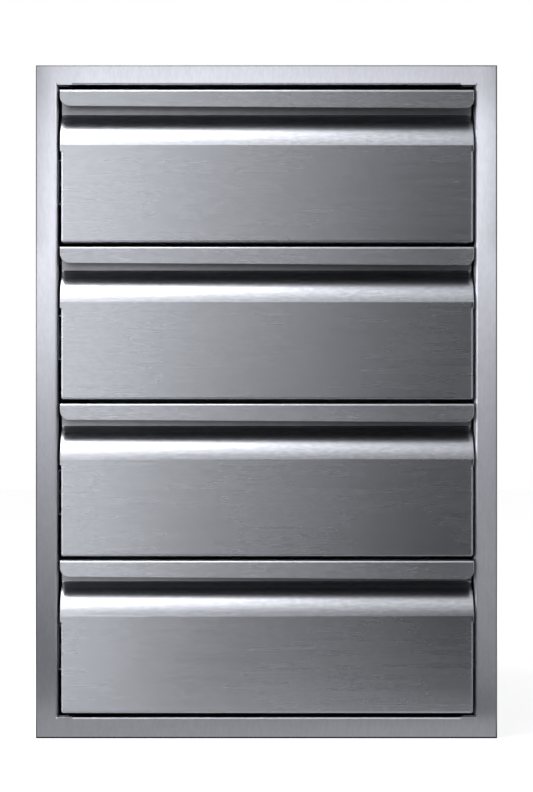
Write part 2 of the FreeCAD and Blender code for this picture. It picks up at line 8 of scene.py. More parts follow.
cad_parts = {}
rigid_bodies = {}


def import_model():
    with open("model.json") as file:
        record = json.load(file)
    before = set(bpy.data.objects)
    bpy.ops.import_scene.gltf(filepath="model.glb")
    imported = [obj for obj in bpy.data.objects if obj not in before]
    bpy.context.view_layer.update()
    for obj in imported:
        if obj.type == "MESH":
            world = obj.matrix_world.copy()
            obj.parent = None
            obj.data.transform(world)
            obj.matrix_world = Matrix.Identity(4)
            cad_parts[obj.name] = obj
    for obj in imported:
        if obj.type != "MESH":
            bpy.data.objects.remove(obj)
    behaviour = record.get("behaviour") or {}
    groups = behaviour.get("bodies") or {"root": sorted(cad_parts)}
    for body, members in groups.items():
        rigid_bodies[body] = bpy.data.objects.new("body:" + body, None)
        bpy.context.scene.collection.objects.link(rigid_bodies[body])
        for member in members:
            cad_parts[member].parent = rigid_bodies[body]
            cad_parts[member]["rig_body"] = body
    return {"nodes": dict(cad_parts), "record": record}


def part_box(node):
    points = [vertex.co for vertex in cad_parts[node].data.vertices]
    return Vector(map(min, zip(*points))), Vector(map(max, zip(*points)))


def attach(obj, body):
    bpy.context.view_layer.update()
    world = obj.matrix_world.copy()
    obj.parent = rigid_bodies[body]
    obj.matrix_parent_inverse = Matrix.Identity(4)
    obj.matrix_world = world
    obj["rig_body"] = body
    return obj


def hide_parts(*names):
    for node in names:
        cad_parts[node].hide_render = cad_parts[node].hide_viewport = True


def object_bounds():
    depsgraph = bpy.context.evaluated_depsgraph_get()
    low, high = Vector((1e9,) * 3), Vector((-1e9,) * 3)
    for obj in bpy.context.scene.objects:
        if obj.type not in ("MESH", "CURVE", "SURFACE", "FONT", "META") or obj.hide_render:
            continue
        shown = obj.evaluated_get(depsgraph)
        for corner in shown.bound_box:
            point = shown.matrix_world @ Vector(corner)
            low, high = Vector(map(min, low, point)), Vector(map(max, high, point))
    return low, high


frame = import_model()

nodes = frame["nodes"]
cadLow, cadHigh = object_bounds()
frontY = cadLow.y  # the drawers' front plane
unitMid = (cadLow + cadHigh) / 2


# the photograph's framing, 533 x 792 pixels
photo = {
    "tall": 792,
    "unitTall": 673.4,       # the unit's height in pixels
    "unitMidDown": 5.8,      # the unit's middle is this far below the picture's middle
    "distance": 2.35,        # from the face frame to the lens
    "leftOfMiddle": 0.039,   # the lens stands a little to the left
    "sensor": 36.0,
    "clipEnd": 50,
}


def makeCamera():
    pixel = (cadHigh.z - cadLow.z) / photo["unitTall"]
    fieldTall = pixel * photo["tall"]
    data = bpy.data.cameras.new("photoCamera")
    data.sensor_width = photo["sensor"]
    data.lens = photo["sensor"] * photo["distance"] / fieldTall
    data.shift_x = photo["leftOfMiddle"] / fieldTall
    data.clip_end = photo["clipEnd"]
    camera = addObject("photoCamera", data)
    camera.location = (-photo["leftOfMiddle"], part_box("face_frame")[0].y - photo["distance"],
                       unitMid.z + photo["unitMidDown"] * pixel)
    camera.rotation_euler = (math.radians(90), 0, 0)
    bpy.context.scene.camera = camera
    print("camera", [round(c, 4) for c in camera.location], "lens", round(data.lens, 2))


def addObject(name, data):
    added = bpy.data.objects.new(name, data)
    bpy.context.scene.collection.objects.link(added)
    return added


# a finished bmesh becomes an object at the origin
def addPiece(name, bm, materials):
    mesh = bpy.data.meshes.new(name)
    for material in materials:
        mesh.materials.append(material)
    bm.to_mesh(mesh)
    bm.free()
    return addObject(name, mesh)


# small helpers for node trees
def newMaterial(name):
    material = bpy.data.materials.new(name)
    material.use_nodes = True
    material.node_tree.nodes.clear()
    return material, material.node_tree


def addNode(tree, kind, **settings):
    node = tree.nodes.new(kind)
    for key, value in settings.items():
        setattr(node, key, value)
    return node


def plug(tree, output, target):
    tree.links.new(output, target)


def surfaceShader(tree, kind):
    shader = addNode(tree, kind)
    plug(tree, shader.outputs[0], addNode(tree, "ShaderNodeOutputMaterial").inputs["Surface"])
    return shader


def whiteGlow(tree, glow, strength):
    glow.inputs["Color"].default_value = (1, 1, 1, 1)
    if isinstance(strength, (int, float)):
        glow.inputs["Strength"].default_value = strength
    else:
        plug(tree, strength, glow.inputs["Strength"])


def mathNode(tree, operation, first, second=None, third=None):
    node = addNode(tree, "ShaderNodeMath", operation=operation)
    for slot, value in enumerate((first, second, third)):
        if value is None:
            continue
        if isinstance(value, (int, float)):
            node.inputs[slot].default_value = value
        else:
            plug(tree, value, node.inputs[slot])
    return node.outputs[0]


def mapRange(tree, value, low, high, toLow=0.0, toHigh=1.0, smooth=False):
    node = addNode(tree, "ShaderNodeMapRange", clamp=True)
    if smooth:
        node.interpolation_type = "SMOOTHSTEP"
    plug(tree, value, node.inputs["Value"])
    for key, number in (("From Min", low), ("From Max", high), ("To Min", toLow), ("To Max", toHigh)):
        node.inputs[key].default_value = number
    return node.outputs[0]


# mixes two colours, each three numbers or another node's output
def blend(tree, share, first, second):
    node = addNode(tree, "ShaderNodeMix", data_type="RGBA")
    plug(tree, share, node.inputs["Factor"])
    for key, color in (("A", first), ("B", second)):
        if isinstance(color, bpy.types.NodeSocket):
            plug(tree, color, node.inputs[key])
        else:
            node.inputs[key].default_value = (*color, 1.0)
    return node.outputs["Result"]


def objectPlace(tree):
    return addNode(tree, "ShaderNodeTexCoord").outputs["Object"]


def splitPlace(tree, place):
    split = addNode(tree, "ShaderNodeSeparateXYZ")
    plug(tree, place, split.inputs[0])
    return split.outputs["X"], split.outputs["Y"], split.outputs["Z"]


def noise(tree, place, scale, detail):
    mapping = addNode(tree, "ShaderNodeMapping")
    mapping.inputs["Scale"].default_value = scale
    plug(tree, place, mapping.inputs["Vector"])
    texture = addNode(tree, "ShaderNodeTexNoise")
    texture.inputs["Scale"].default_value = 1.0
    texture.inputs["Detail"].default_value = detail
    plug(tree, mapping.outputs[0], texture.inputs["Vector"])
    return texture.outputs["Fac"]


# a ramp along one coordinate from (place, level) stops; shrink brings levels above 1 within the ramp
def levelRamp(tree, value, stops, shrink=1.0):
    low, high = stops[0][0], stops[-1][0]
    ramp = addNode(tree, "ShaderNodeValToRGB")
    elements = ramp.color_ramp.elements
    while len(elements) < len(stops):
        elements.new(0.5)   # moved to its place below
    for element, (at, _) in zip(elements, stops):
        element.position = (at - low) / (high - low)
    for element, (_, level) in zip(elements, stops):
        element.color = (level * shrink,) * 3 + (1,)
    plug(tree, mapRange(tree, value, low, high), ramp.inputs["Fac"])
    return mathNode(tree, "DIVIDE", ramp.outputs["Color"], shrink)


# brushed sheet: what a finish doesn't change
steel = {
    "color": (0.575, 0.592, 0.643),
    "spread": 0.07,          # streaks are lighter and darker by this share
    "roughChange": 0.02,     # either way
    "anisotropic": 0.9,
    "grain": (1, 0, 0),
    "lean": 0.02,            # gives a face square to the grain a direction too
    # streaks per metre across and along the grain, and their share of the tone
    "fine": {"across": 1400, "along": 30, "detail": 0.0, "share": 0.2},
    "dash": {"across": 450, "along": 150, "detail": 1.0, "share": 0.65},
    "broad": {"across": 160, "along": 6, "detail": 2.0, "share": 0.15},
    "toneRange": (0.36, 0.64),
    # what the roughness follows: large clouds and the broad streaks
    "cloud": 7, "cloudDetail": 3.0, "cloudShare": 0.6, "broadShare": 0.4,
    "wearRange": (0.3, 0.7),
}


def grainStreaks(tree, place, look, kind):
    streak = look[kind]
    scale = [streak["along"] if a else streak["across"] for a in look["grain"]]
    return noise(tree, place, scale, streak["detail"])


# the direction across the grain, over the surface
def grainDirection(tree, look):
    grain, lean = look["grain"], look["lean"]
    cross = addNode(tree, "ShaderNodeVectorMath", operation="CROSS_PRODUCT")
    plug(tree, addNode(tree, "ShaderNodeNewGeometry").outputs["Normal"], cross.inputs[0])
    aside = (0, 0, lean) if grain[1] else (0, lean, 0)
    cross.inputs[1].default_value = [a + b for a, b in zip(grain, aside)]
    return cross.outputs[0]


def brushedSteel(name, changes):
    look = {**steel, **changes}
    material, tree = newMaterial(name)
    shader = surfaceShader(tree, "ShaderNodeBsdfPrincipled")
    shader.inputs["Metallic"].default_value = 1.0
    shader.inputs["Anisotropic"].default_value = look["anisotropic"]
    place = objectPlace(tree)
    fine, dash, broad = [grainStreaks(tree, place, look, kind) for kind in ("fine", "dash", "broad")]
    cloud = noise(tree, place, (look["cloud"],) * 3, look["cloudDetail"])

    mixed = mathNode(tree, "MULTIPLY", broad, look["broad"]["share"])
    mixed = mathNode(tree, "MULTIPLY_ADD", fine, look["fine"]["share"], mixed)
    mixed = mathNode(tree, "MULTIPLY_ADD", dash, look["dash"]["share"], mixed)
    dark = [c * (1 - look["spread"]) for c in look["color"]]
    pale = [c * (1 + look["spread"]) for c in look["color"]]
    color = blend(tree, mapRange(tree, mixed, *look["toneRange"]), dark, pale)
    # painted edge shade on the frame's outer edge, where a finish has it
    if "rim" in look:
        color = paintEdgeShade(tree, place, shader, color, look["rim"])
    # painted light and shade scale the colour here, where a finish has them
    if "paintedLight" in look:
        shaded = addNode(tree, "ShaderNodeVectorMath", operation="SCALE")
        plug(tree, color, shaded.inputs[0])
        plug(tree, look["paintedLight"](tree, place), shaded.inputs["Scale"])
        color = shaded.outputs[0]
    plug(tree, color, shader.inputs["Base Color"])

    wear = mathNode(tree, "MULTIPLY", broad, look["broadShare"])
    wear = mathNode(tree, "MULTIPLY_ADD", cloud, look["cloudShare"], wear)
    rough, change = look["roughness"], look["roughChange"]
    roughness = mapRange(tree, wear, *look["wearRange"], rough - change, rough + change)
    plug(tree, roughness, shader.inputs["Roughness"])
    if look["anisotropic"] > 0:
        plug(tree, grainDirection(tree, look), shader.inputs["Tangent"])
    return material


# the frame's outer edge gets a painted shade: a dark line along it, near black at the foot, and dull, not
# metal, at the foot and the right
paintedEdgeShade = {
    "width": 0.0011, "footWidth": 0.0017, "rightWidth": 0.0014,
    "depth": 0.003,          # from the frame's front
    "color": (0.16, 0.16, 0.18),
    "footColor": (0.03, 0.03, 0.035), "footRange": (0.0015, 0.02),
    "sheen": 0.1,
}


def paintEdgeShade(tree, place, shader, color, rim):
    low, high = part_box("face_frame")
    x, y, z = splitPlace(tree, place)
    sideways = mathNode(tree, "ABSOLUTE", x)
    fromMiddle = mathNode(tree, "ABSOLUTE", mathNode(tree, "SUBTRACT", z, (low.z + high.z) / 2))
    side = mathNode(tree, "GREATER_THAN", sideways, high.x - rim["width"])
    end = mathNode(tree, "GREATER_THAN", fromMiddle, (high.z - low.z) / 2 - rim["width"])
    foot = mathNode(tree, "LESS_THAN", z, low.z + rim["footWidth"])
    right = mathNode(tree, "GREATER_THAN", x, high.x - rim["rightWidth"])
    front = mathNode(tree, "LESS_THAN", y, low.y + rim["depth"])
    footRightShade = mathNode(tree, "MULTIPLY", front, mathNode(tree, "MAXIMUM", foot, right))
    outlineShade = mathNode(tree, "MULTIPLY", front, mathNode(tree, "MAXIMUM", side, end))
    # painted shade: not metal and near black at the foot and the right edge
    plug(tree, mathNode(tree, "SUBTRACT", 1.0, footRightShade), shader.inputs["Metallic"])
    shader.inputs["Specular IOR Level"].default_value = rim["sheen"]
    edge = blend(tree, mapRange(tree, z, *rim["footRange"]), rim["footColor"], rim["color"])
    return blend(tree, mathNode(tree, "MAXIMUM", outlineShade, footRightShade), color, edge)


# the frame's painted light and shade: darker towards the upper sides, and a painted reflection uneven along
# the top rail
framePaintedLight = {
    "plain": 0.96, "side": 0.76,         # at the outer edge, on the lower and the upper part
    "sideFrom": (0.470, 0.500),          # heights between which the one becomes the other
    "sideWide": 0.016,                   # and the width over which they fade out
    "top": ((-0.222, 0.90), (-0.205, 1.04), (-0.175, 1.19), (-0.05, 1.17), (0.0, 1.12),
            (0.06, 1.02), (0.14, 0.90), (0.20, 0.78), (0.222, 0.80)),
    "topShrink": 0.5,
    "topFrom": (0.600, 0.652),
}


# painted reflection and shade: scales the frame's colour by place
def framePaintedReflection(tree, place):
    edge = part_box("face_frame")[1].x
    x, _, z = splitPlace(tree, place)
    upper = mapRange(tree, z, *framePaintedLight["sideFrom"], framePaintedLight["plain"], framePaintedLight["side"], smooth=True)
    outward = mapRange(tree, mathNode(tree, "ABSOLUTE", x), edge - framePaintedLight["sideWide"], edge)
    side = mathNode(tree, "MULTIPLY_ADD", outward, mathNode(tree, "SUBTRACT", upper, 1.0), 1.0)
    onTop = mapRange(tree, z, *framePaintedLight["topFrom"], smooth=True)
    rail = mathNode(tree, "SUBTRACT", levelRamp(tree, x, framePaintedLight["top"], framePaintedLight["topShrink"]), 1.0)
    return mathNode(tree, "MULTIPLY", side, mathNode(tree, "MULTIPLY_ADD", onTop, rail, 1.0))


# the lips' painted reflection: shares at their left and right ends, on the top and the bottom drawer
lipPaintedLight = {
    "half": 0.2,             # from the middle to an end
    "high": 0.64, "top": (0.80, 1.12),
    "low": 0.17, "foot": (1.02, 1.45),
}


# painted reflection: scales the lips' colour by place
def lipPaintedReflection(tree, place):
    x, _, z = splitPlace(tree, place)
    half = lipPaintedLight["half"]
    top = mapRange(tree, x, -half, half, *lipPaintedLight["top"])
    foot = mapRange(tree, x, -half, half, *lipPaintedLight["foot"])
    climb = mapRange(tree, z, lipPaintedLight["low"], lipPaintedLight["high"])
    return mathNode(tree, "MULTIPLY_ADD", climb, mathNode(tree, "SUBTRACT", top, foot), foot)


# the flats' painted shade: darker in the bend at the right, by distance from the middle
flatPaintedShade = {"rightBend": ((0.2026, 1.0), (0.2031, 0.5), (0.2038, 0.5), (0.2044, 0.75))}


# painted shade: darkens the flats' colour in the right bend
def flatPaintedShadeRamp(tree, place):
    return levelRamp(tree, splitPlace(tree, place)[0], flatPaintedShade["rightBend"])


# what each finish changes in the brushed sheet
finishes = {
    "frame_steel": {"grain": (0, 0, 1), "color": (0.580, 0.590, 0.650), "roughness": 0.33,
                    "anisotropic": 1.0, "spread": 0.04, "rim": paintedEdgeShade, "paintedLight": framePaintedReflection},
    "drawer_steel": {"roughness": 0.27, "spread": 0.045, "paintedLight": flatPaintedShadeRamp},
    "liner_steel": {"color": (0.54, 0.55, 0.59), "roughness": 0.5, "anisotropic": 0.4},
    "tray_steel": {"grain": (0, 1, 0), "color": (0.58, 0.59, 0.63), "roughness": 0.42, "anisotropic": 0.6},
    "cabinet_steel": {"grain": (0, 1, 0), "color": (0.54, 0.55, 0.58), "roughness": 0.45, "anisotropic": 0.5},
    "slide_steel": {"grain": (0, 1, 0), "color": (0.66, 0.67, 0.69), "roughness": 0.34, "anisotropic": 0.3},
    "cage_steel": {"grain": (0, 1, 0), "color": (0.5, 0.5, 0.5), "roughness": 0.36, "anisotropic": 0.2},
    "screw_steel": {"grain": (0, 1, 0), "color": (0.7, 0.7, 0.71), "roughness": 0.22, "anisotropic": 0.0},
}

rubber = {
    "dark": (0.018, 0.018, 0.019), "pale": (0.035, 0.035, 0.036),
    "cloud": 60, "detail": 3.0, "cloudRange": (0.3, 0.7), "roughness": (0.62, 0.78),
}


def blackRubber():
    material, tree = newMaterial("stop_rubber_look")
    shader = surfaceShader(tree, "ShaderNodeBsdfPrincipled")
    cloud = noise(tree, objectPlace(tree), (rubber["cloud"],) * 3, rubber["detail"])
    plug(tree, blend(tree, cloud, rubber["dark"], rubber["pale"]), shader.inputs["Base Color"])
    roughness = mapRange(tree, cloud, *rubber["cloudRange"], *rubber["roughness"])
    plug(tree, roughness, shader.inputs["Roughness"])
    return material


def dressNodes():
    made = {slot: brushedSteel(f"{slot}_look", changes) for slot, changes in finishes.items()}
    made["stop_rubber"] = blackRubber()
    subparts = frame["record"]["subparts"]
    for part in subparts:
        for place in nodes[part["node"]].material_slots:
            place.material = made[part["material_slot"]]
    print("dressed", len(subparts), "nodes")
    return made


# folded sheets with their cut edges softened: width of the rounding in metres
softEdges = {
    "merge": 1e-5, "flatAngle": 0.4, "cutAngle": 60, "segments": 3, "flatWeight": 100,
    "face_frame": 0.0003, "front_skin": 0.00035, "tray": 0.0004, "front_liner": 0.0003,
    "cabinet": 0.0003, "slides": 0.00025,
}


def mergedCopy(nodeName):
    bm = bmesh.new()
    bm.from_mesh(nodes[nodeName].data)
    bmesh.ops.remove_doubles(bm, verts=bm.verts, dist=softEdges["merge"])
    return bm


def softenedCopy(nodeName, pieceName, width, materials):
    bm = mergedCopy(nodeName)
    flat = math.radians(softEdges["flatAngle"])
    bmesh.ops.dissolve_limit(bm, angle_limit=flat, verts=bm.verts, edges=bm.edges)
    cut = math.radians(softEdges["cutAngle"])
    edges = [e for e in bm.edges if len(e.link_faces) == 2 and e.calc_face_angle() > cut]
    bmesh.ops.bevel(bm, geom=edges, offset=width, segments=softEdges["segments"], affect="EDGES",
                    profile=0.5, material=-1, clamp_overlap=False)
    bmesh.ops.recalc_face_normals(bm, faces=bm.faces)
    for face in bm.faces:
        face.smooth = True
    if len(materials) > 1:   # only a front skin has several finishes
        finishRecess(bm)
    piece = addPiece(pieceName, bm, materials)
    if "custom_normal" in piece.data.attributes:
        piece.data.attributes.remove(piece.data.attributes["custom_normal"])
    weighted = piece.modifiers.new("flatFaces", "WEIGHTED_NORMAL")
    weighted.weight = softEdges["flatWeight"]
    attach(piece, nodes[nodeName]["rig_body"])
    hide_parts(nodeName)
    return piece


# a front skin's other finishes, in the order of its material slots after the flat's own
skinFinishes = {
    "recess": {"color": (0.05, 0.05, 0.055), "roughness": 0.5, "anisotropic": 0.5},   # painted shade: near black on the recess's inner faces behind and under the lip
    "scoop": {"roughness": 0.22},
    # painted shade: the wall under the lip is a darker copy of the drawer steel
    "recess_wall": {"color": (0.50, 0.51, 0.55), "roughness": 0.33},
    "lip": {"roughness": 0.27, "paintedLight": lipPaintedReflection},
}
# where they lie: depths from the front plane, heights down from the skin's top
recess = {
    "sheet": 0.0012, "within": 0.00096,      # a face deeper than this isn't on the sheet's outside
    "deep": 0.0245, "lipTall": 0.018, "facing": 0.5,
    "scoopTop": 0.022, "scoopFoot": 0.056, "scoopFacing": 0.1,
    "wallFrom": 0.022, "wallFoot": 0.030,
    "lipFoot": 0.0195, "lipFacing": 0.8,
}


def finishRecess(bm):
    slots = {name: number for number, name in enumerate(skinFinishes, 1)}
    top = max(v.co.z for v in bm.verts)
    for face in bm.faces:
        middle, normal = face.calc_center_median(), face.normal
        deep, down = middle.y - frontY, top - middle.z
        inside = recess["within"] < deep < recess["deep"] and recess["within"] < down < recess["lipTall"]
        if inside and (normal.z < -recess["facing"] or normal.y > recess["facing"]):
            face.material_index = slots["recess"]
        onScoop = recess["scoopTop"] < down < recess["scoopFoot"]
        if onScoop and normal.z > recess["scoopFacing"] and normal.y < 0:
            face.material_index = slots["scoop"]
        onWall = deep > recess["wallFrom"] and down < recess["wallFoot"]
        if onWall and normal.y < -recess["facing"] and face.material_index == 0:
            face.material_index = slots["recess_wall"]
        if normal.y < -recess["lipFacing"] and deep < recess["sheet"] and down < recess["lipFoot"]:
            face.material_index = slots["lip"]


def makeSheets(made):
    skinLooks = [made["drawer_steel"]]
    skinLooks += [brushedSteel(f"{name}_look", changes) for name, changes in skinFinishes.items()]
    frameFace = softenedCopy("face_frame", "face_frame_sheet", softEdges["face_frame"], [made["frame_steel"]])
    for number in (1, 2, 3, 4):
        skin = softenedCopy(f"drawer_{number}_front_skin", f"drawer_{number}_front_sheet",
                            softEdges["front_skin"], skinLooks)
        tray = softenedCopy(f"drawer_{number}_tray", f"drawer_{number}_tray_sheet",
                            softEdges["tray"], [made["tray_steel"]])
        liner = softenedCopy(f"drawer_{number}_front_liner", f"drawer_{number}_liner_sheet",
                             softEdges["front_liner"], [made["liner_steel"]])
        for member in ("outer", "middle", "inner"):
            slides = softenedCopy(f"drawer_{number}_{member}_slides", f"drawer_{number}_{member}_channels",
                                  softEdges["slides"], [made["slide_steel"]])
    for side in ("left_side", "right_side", "top", "bottom", "back"):
        panel = softenedCopy(f"cabinet_{side}", f"cabinet_{side}_sheet", softEdges["cabinet"],
                             [made["cabinet_steel"]])
    print("softened the cut edges of the sheets")


# pan heads with a cross recess, on the plain screws' places
screws = {
    "around": 40, "shank": 0.0020, "head": 0.0040, "chamfer": 0.0003, "bead": 0.00012,
    "side": 0.35,            # the dome starts at this share of the head's height
    "rings": (0.0039, 0.00365, 0.0032, 0.0027, 0.0022),     # and is rounded at these radii
    "arm": 0.0019, "armHalf": 0.00042,
    "footArm": 0.0012, "footHalf": 0.00026,
    "sink": 0.8,             # the recess's depth, as a share of the head's height
    "sharp": 35,             # degrees
    "slideHead": 0.0009, "frontHead": 0.0018,
}


# bounding boxes of a node's separate solids
def solidBoxes(nodeName):
    bm = mergedCopy(nodeName)
    seen, boxes = set(), []
    for start in bm.verts:
        if start in seen:
            continue
        seen.add(start)
        waiting, corners = [start], []
        while waiting:
            vert = waiting.pop()
            corners.append(vert.co.copy())
            for edge in vert.link_edges:
                other = edge.other_vert(vert)
                if other not in seen:
                    seen.add(other)
                    waiting.append(other)
        boxes.append((Vector(map(min, *corners)), Vector(map(max, *corners))))
    bm.free()
    return boxes


# a cross's outline, a quarter at a time, lifted by the height at each distance from its middle
def crossLoop(bm, arm, half, heightAt):
    corners = []
    for turn in range(4):
        for x, y in ((arm, half), (half, half), (half, arm)):
            for _ in range(turn):
                x, y = -y, x
            corners.append(bm.verts.new((x, y, heightAt(math.hypot(x, y)))))
    return [bm.edges.new(pair) for pair in zip(corners, corners[1:] + corners[:1])]


# one screw, its head standing on the origin and facing Z
def screwMesh(shankLong, tall):
    shank, head, bead = screws["shank"], screws["head"], screws["bead"]
    rise = tall * screws["side"]

    def domeAt(radius):
        return rise + (tall - rise) * math.sqrt(1 - (radius / head) ** 2)

    profile = [(shank - screws["chamfer"], -shankLong), (shank, screws["chamfer"] - shankLong),
               (shank, 0), (head - bead, 0), (head, bead), (head, rise)]
    profile += [(radius, domeAt(radius)) for radius in screws["rings"]]
    bm = bmesh.new()
    corners = [bm.verts.new((radius, 0, up)) for radius, up in profile]
    edges = [bm.edges.new(pair) for pair in zip(corners, corners[1:])]
    bmesh.ops.spin(bm, geom=corners + edges, axis=(0, 0, 1), cent=(0, 0, 0), steps=screws["around"],
                   angle=math.radians(360), use_merge=True)
    openEdges = [e for e in bm.edges if e.is_boundary]
    bmesh.ops.edgeloop_fill(bm, edges=[e for e in openEdges if e.verts[0].co.z < 0])
    mouth = crossLoop(bm, screws["arm"], screws["armHalf"], domeAt)
    foot = crossLoop(bm, screws["footArm"], screws["footHalf"], lambda _: tall * (1 - screws["sink"]))
    bmesh.ops.bridge_loops(bm, edges=mouth + foot)
    bmesh.ops.edgeloop_fill(bm, edges=foot)
    crown = [e for e in openEdges if e.verts[0].co.z > 0]
    bmesh.ops.triangle_fill(bm, edges=crown + mouth, use_beauty=True, normal=(0, 0, 1))
    mesh = bpy.data.meshes.new("screw")
    bm.to_mesh(mesh)
    bm.free()
    return mesh


def screwSet(nodeName, tall, facing, material):
    bm = bmesh.new()
    for low, high in solidBoxes(nodeName):
        middle = (low + high) / 2
        toward = facing(middle)
        reach = abs((high - low).dot(toward)) / 2
        seat = middle + toward * (reach - tall)
        place = Matrix.Translation(seat) @ toward.to_track_quat("Z", "Y").to_matrix().to_4x4()
        single = screwMesh(2 * reach - tall, tall)
        earlier = len(bm.verts)
        bm.from_mesh(single)
        bm.verts.ensure_lookup_table()
        bmesh.ops.transform(bm, matrix=place, verts=bm.verts[earlier:])
        bpy.data.meshes.remove(single)
    bmesh.ops.recalc_face_normals(bm, faces=bm.faces)
    for face in bm.faces:
        face.smooth = True
    sharp = math.radians(screws["sharp"])
    for edge in bm.edges:
        if len(edge.link_faces) == 2 and edge.calc_face_angle() > sharp:
            edge.smooth = False
    piece = addPiece(f"{nodeName}_crossed", bm, [material])
    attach(piece, nodes[nodeName]["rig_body"])
    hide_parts(nodeName)


def makeScrews(made):
    material = made["screw_steel"]
    screwSet("cabinet_slide_screws", screws["slideHead"],
             lambda at: Vector((math.copysign(1, -at.x), 0, 0)), material)
    for number in (1, 2, 3, 4):
        screwSet(f"drawer_{number}_slide_screws", screws["slideHead"],
                 lambda at: Vector((math.copysign(1, at.x), 0, 0)), material)
        screwSet(f"drawer_{number}_front_screws", screws["frontHead"], lambda at: Vector((0, 1, 0)), material)
    print("made the screws")


# studio: pale floor and white surroundings
studio = {
    "floorHalf": 6.0,
    "floorColor": 0.5,
    "floorGlow": 0.7,
    "fill": 0.55,            # world strength for soft light
}


# camera, glossy and transmission rays all see the white surroundings
def seenRays(tree):
    path = addNode(tree, "ShaderNodeLightPath")
    seen = mathNode(tree, "MAXIMUM", path.outputs["Is Camera Ray"], path.outputs["Is Transmission Ray"])
    return mathNode(tree, "MAXIMUM", seen, path.outputs["Is Glossy Ray"])


def makeFloor():
    material, tree = newMaterial("floor_look")
    material.cycles.emission_sampling = "NONE"
    both = surfaceShader(tree, "ShaderNodeAddShader")
    diffuse = addNode(tree, "ShaderNodeBsdfDiffuse")
    diffuse.inputs["Color"].default_value = (studio["floorColor"],) * 3 + (1,)
    glow = addNode(tree, "ShaderNodeEmission")
    whiteGlow(tree, glow, mathNode(tree, "MULTIPLY", seenRays(tree), studio["floorGlow"]))
    plug(tree, diffuse.outputs[0], both.inputs[0])
    plug(tree, glow.outputs[0], both.inputs[1])
    bm = bmesh.new()
    bmesh.ops.create_grid(bm, x_segments=1, y_segments=1, size=studio["floorHalf"])
    floor = addPiece("floor", bm, [material])
    print("laid the floor")


def makeWorld():
    world = bpy.data.worlds.new("surroundings")
    world.use_nodes = True
    tree = world.node_tree
    tree.nodes.clear()
    soft = addNode(tree, "ShaderNodeBackground")
    whiteGlow(tree, soft, studio["fill"])
    white = addNode(tree, "ShaderNodeBackground")
    whiteGlow(tree, white, 1.0)
    choice = addNode(tree, "ShaderNodeMixShader")
    plug(tree, seenRays(tree), choice.inputs["Fac"])
    plug(tree, soft.outputs[0], choice.inputs[1])
    plug(tree, white.outputs[0], choice.inputs[2])
    plug(tree, choice.outputs[0], addNode(tree, "ShaderNodeOutputWorld").inputs["Surface"])
    bpy.context.scene.world = world
    print("set the surroundings")


# turns a place on a card into the place on the unit that mirrors it
def onUnit(tree, sideways, out):
    ratio = mathNode(tree, "DIVIDE", out, photo["distance"])
    shifted = mathNode(tree, "MULTIPLY_ADD", ratio, -photo["leftOfMiddle"], sideways)
    return mathNode(tree, "DIVIDE", shifted, mathNode(tree, "ADD", ratio, 1.0))


# a card from its profile drawn out straight, seen in the steel alone
def cardSheet(name, profile, reach):
    material, tree = newMaterial(f"{name}_look")
    material.cycles.emission_sampling = "NONE"   # found by reflection alone, which is less grainy
    bm = bmesh.new()
    corners = [bm.verts.new(corner) for corner in profile]
    edges = [bm.edges.new(pair) for pair in zip(corners, corners[1:])]
    drawn = bmesh.ops.extrude_edge_only(bm, edges=edges)["geom"]
    moved = [part for part in drawn if isinstance(part, bmesh.types.BMVert)]
    bmesh.ops.translate(bm, vec=reach, verts=moved)
    card = addPiece(name, bm, [material])
    card.visible_camera = False
    card.visible_diffuse = False
    card.visible_shadow = False
    return tree


# a card across the front, from (out, up) points, with its places as the materials read them
def wideCard(name, profile):
    wide = frontCard["wide"]
    tree = cardSheet(name, [(-wide / 2, frontY - out, up) for out, up in profile], (wide, 0, 0))
    x, y, z = splitPlace(tree, objectPlace(tree))
    return tree, x, mathNode(tree, "SUBTRACT", frontY, y), z


def glowCard(tree, strength):
    whiteGlow(tree, surfaceShader(tree, "ShaderNodeEmission"), strength)


# card levels run across in metres as they fall on the unit, left to right
frontCard = {
    "behind": 2.72,          # from the drawers' front plane
    "wide": 9.0, "tall": 1.5,
    "strength": 2.1,
    "slant": 0.11,           # its bright band climbs to the right
    "across": ((-2.1, 1.15), (-0.9, 1.25), (-0.5, 1.30), (-0.30, 0.92), (-0.20, 0.76), (-0.13, 0.61),
               (-0.07, 0.44), (0.0, 0.32), (0.07, 0.20), (0.12, 0.11), (0.17, 0.03), (0.22, 0.0),
               (0.30, 0.0), (0.40, 0.12), (0.52, 0.9), (0.65, 1.5), (0.9, 1.6), (2.1, 1.4)),
    "up": ((0.06, 0.20), (0.20, 0.17), (0.33, 0.215), (0.457, 0.345), (0.577, 0.60), (0.62, 0.85),
           (0.70, 1.26), (0.80, 1.27), (0.885, 1.08), (0.96, 1.0), (1.04, 0.78), (1.08, 0.60), (1.5, 0.20)),
    # a weaker glow low in the middle
    "lowAcross": ((-0.30, 0.0), (-0.20, 0.15), (-0.1, 0.09), (0.0, 0.065), (0.1, 0.055), (0.2, 0.03),
                  (0.27, 0.0)),
    "lowUp": ((0.0, 1.0), (0.45, 0.9), (0.62, 0.0)),
}


def makeFrontCard():
    far = frontCard["behind"]
    tree, sideways, _, height = wideCard("frontCard", ((far, 0), (far, frontCard["tall"])))
    place = onUnit(tree, sideways, far)
    across = levelRamp(tree, place, frontCard["across"])
    slanted = mathNode(tree, "MULTIPLY_ADD", sideways, -frontCard["slant"], height)
    up = levelRamp(tree, slanted, frontCard["up"])
    low = mathNode(tree, "MULTIPLY", levelRamp(tree, place, frontCard["lowAcross"]),
                   levelRamp(tree, height, frontCard["lowUp"]))
    level = mathNode(tree, "MULTIPLY_ADD", across, up, low)
    glowCard(tree, mathNode(tree, "MULTIPLY", level, frontCard["strength"]))


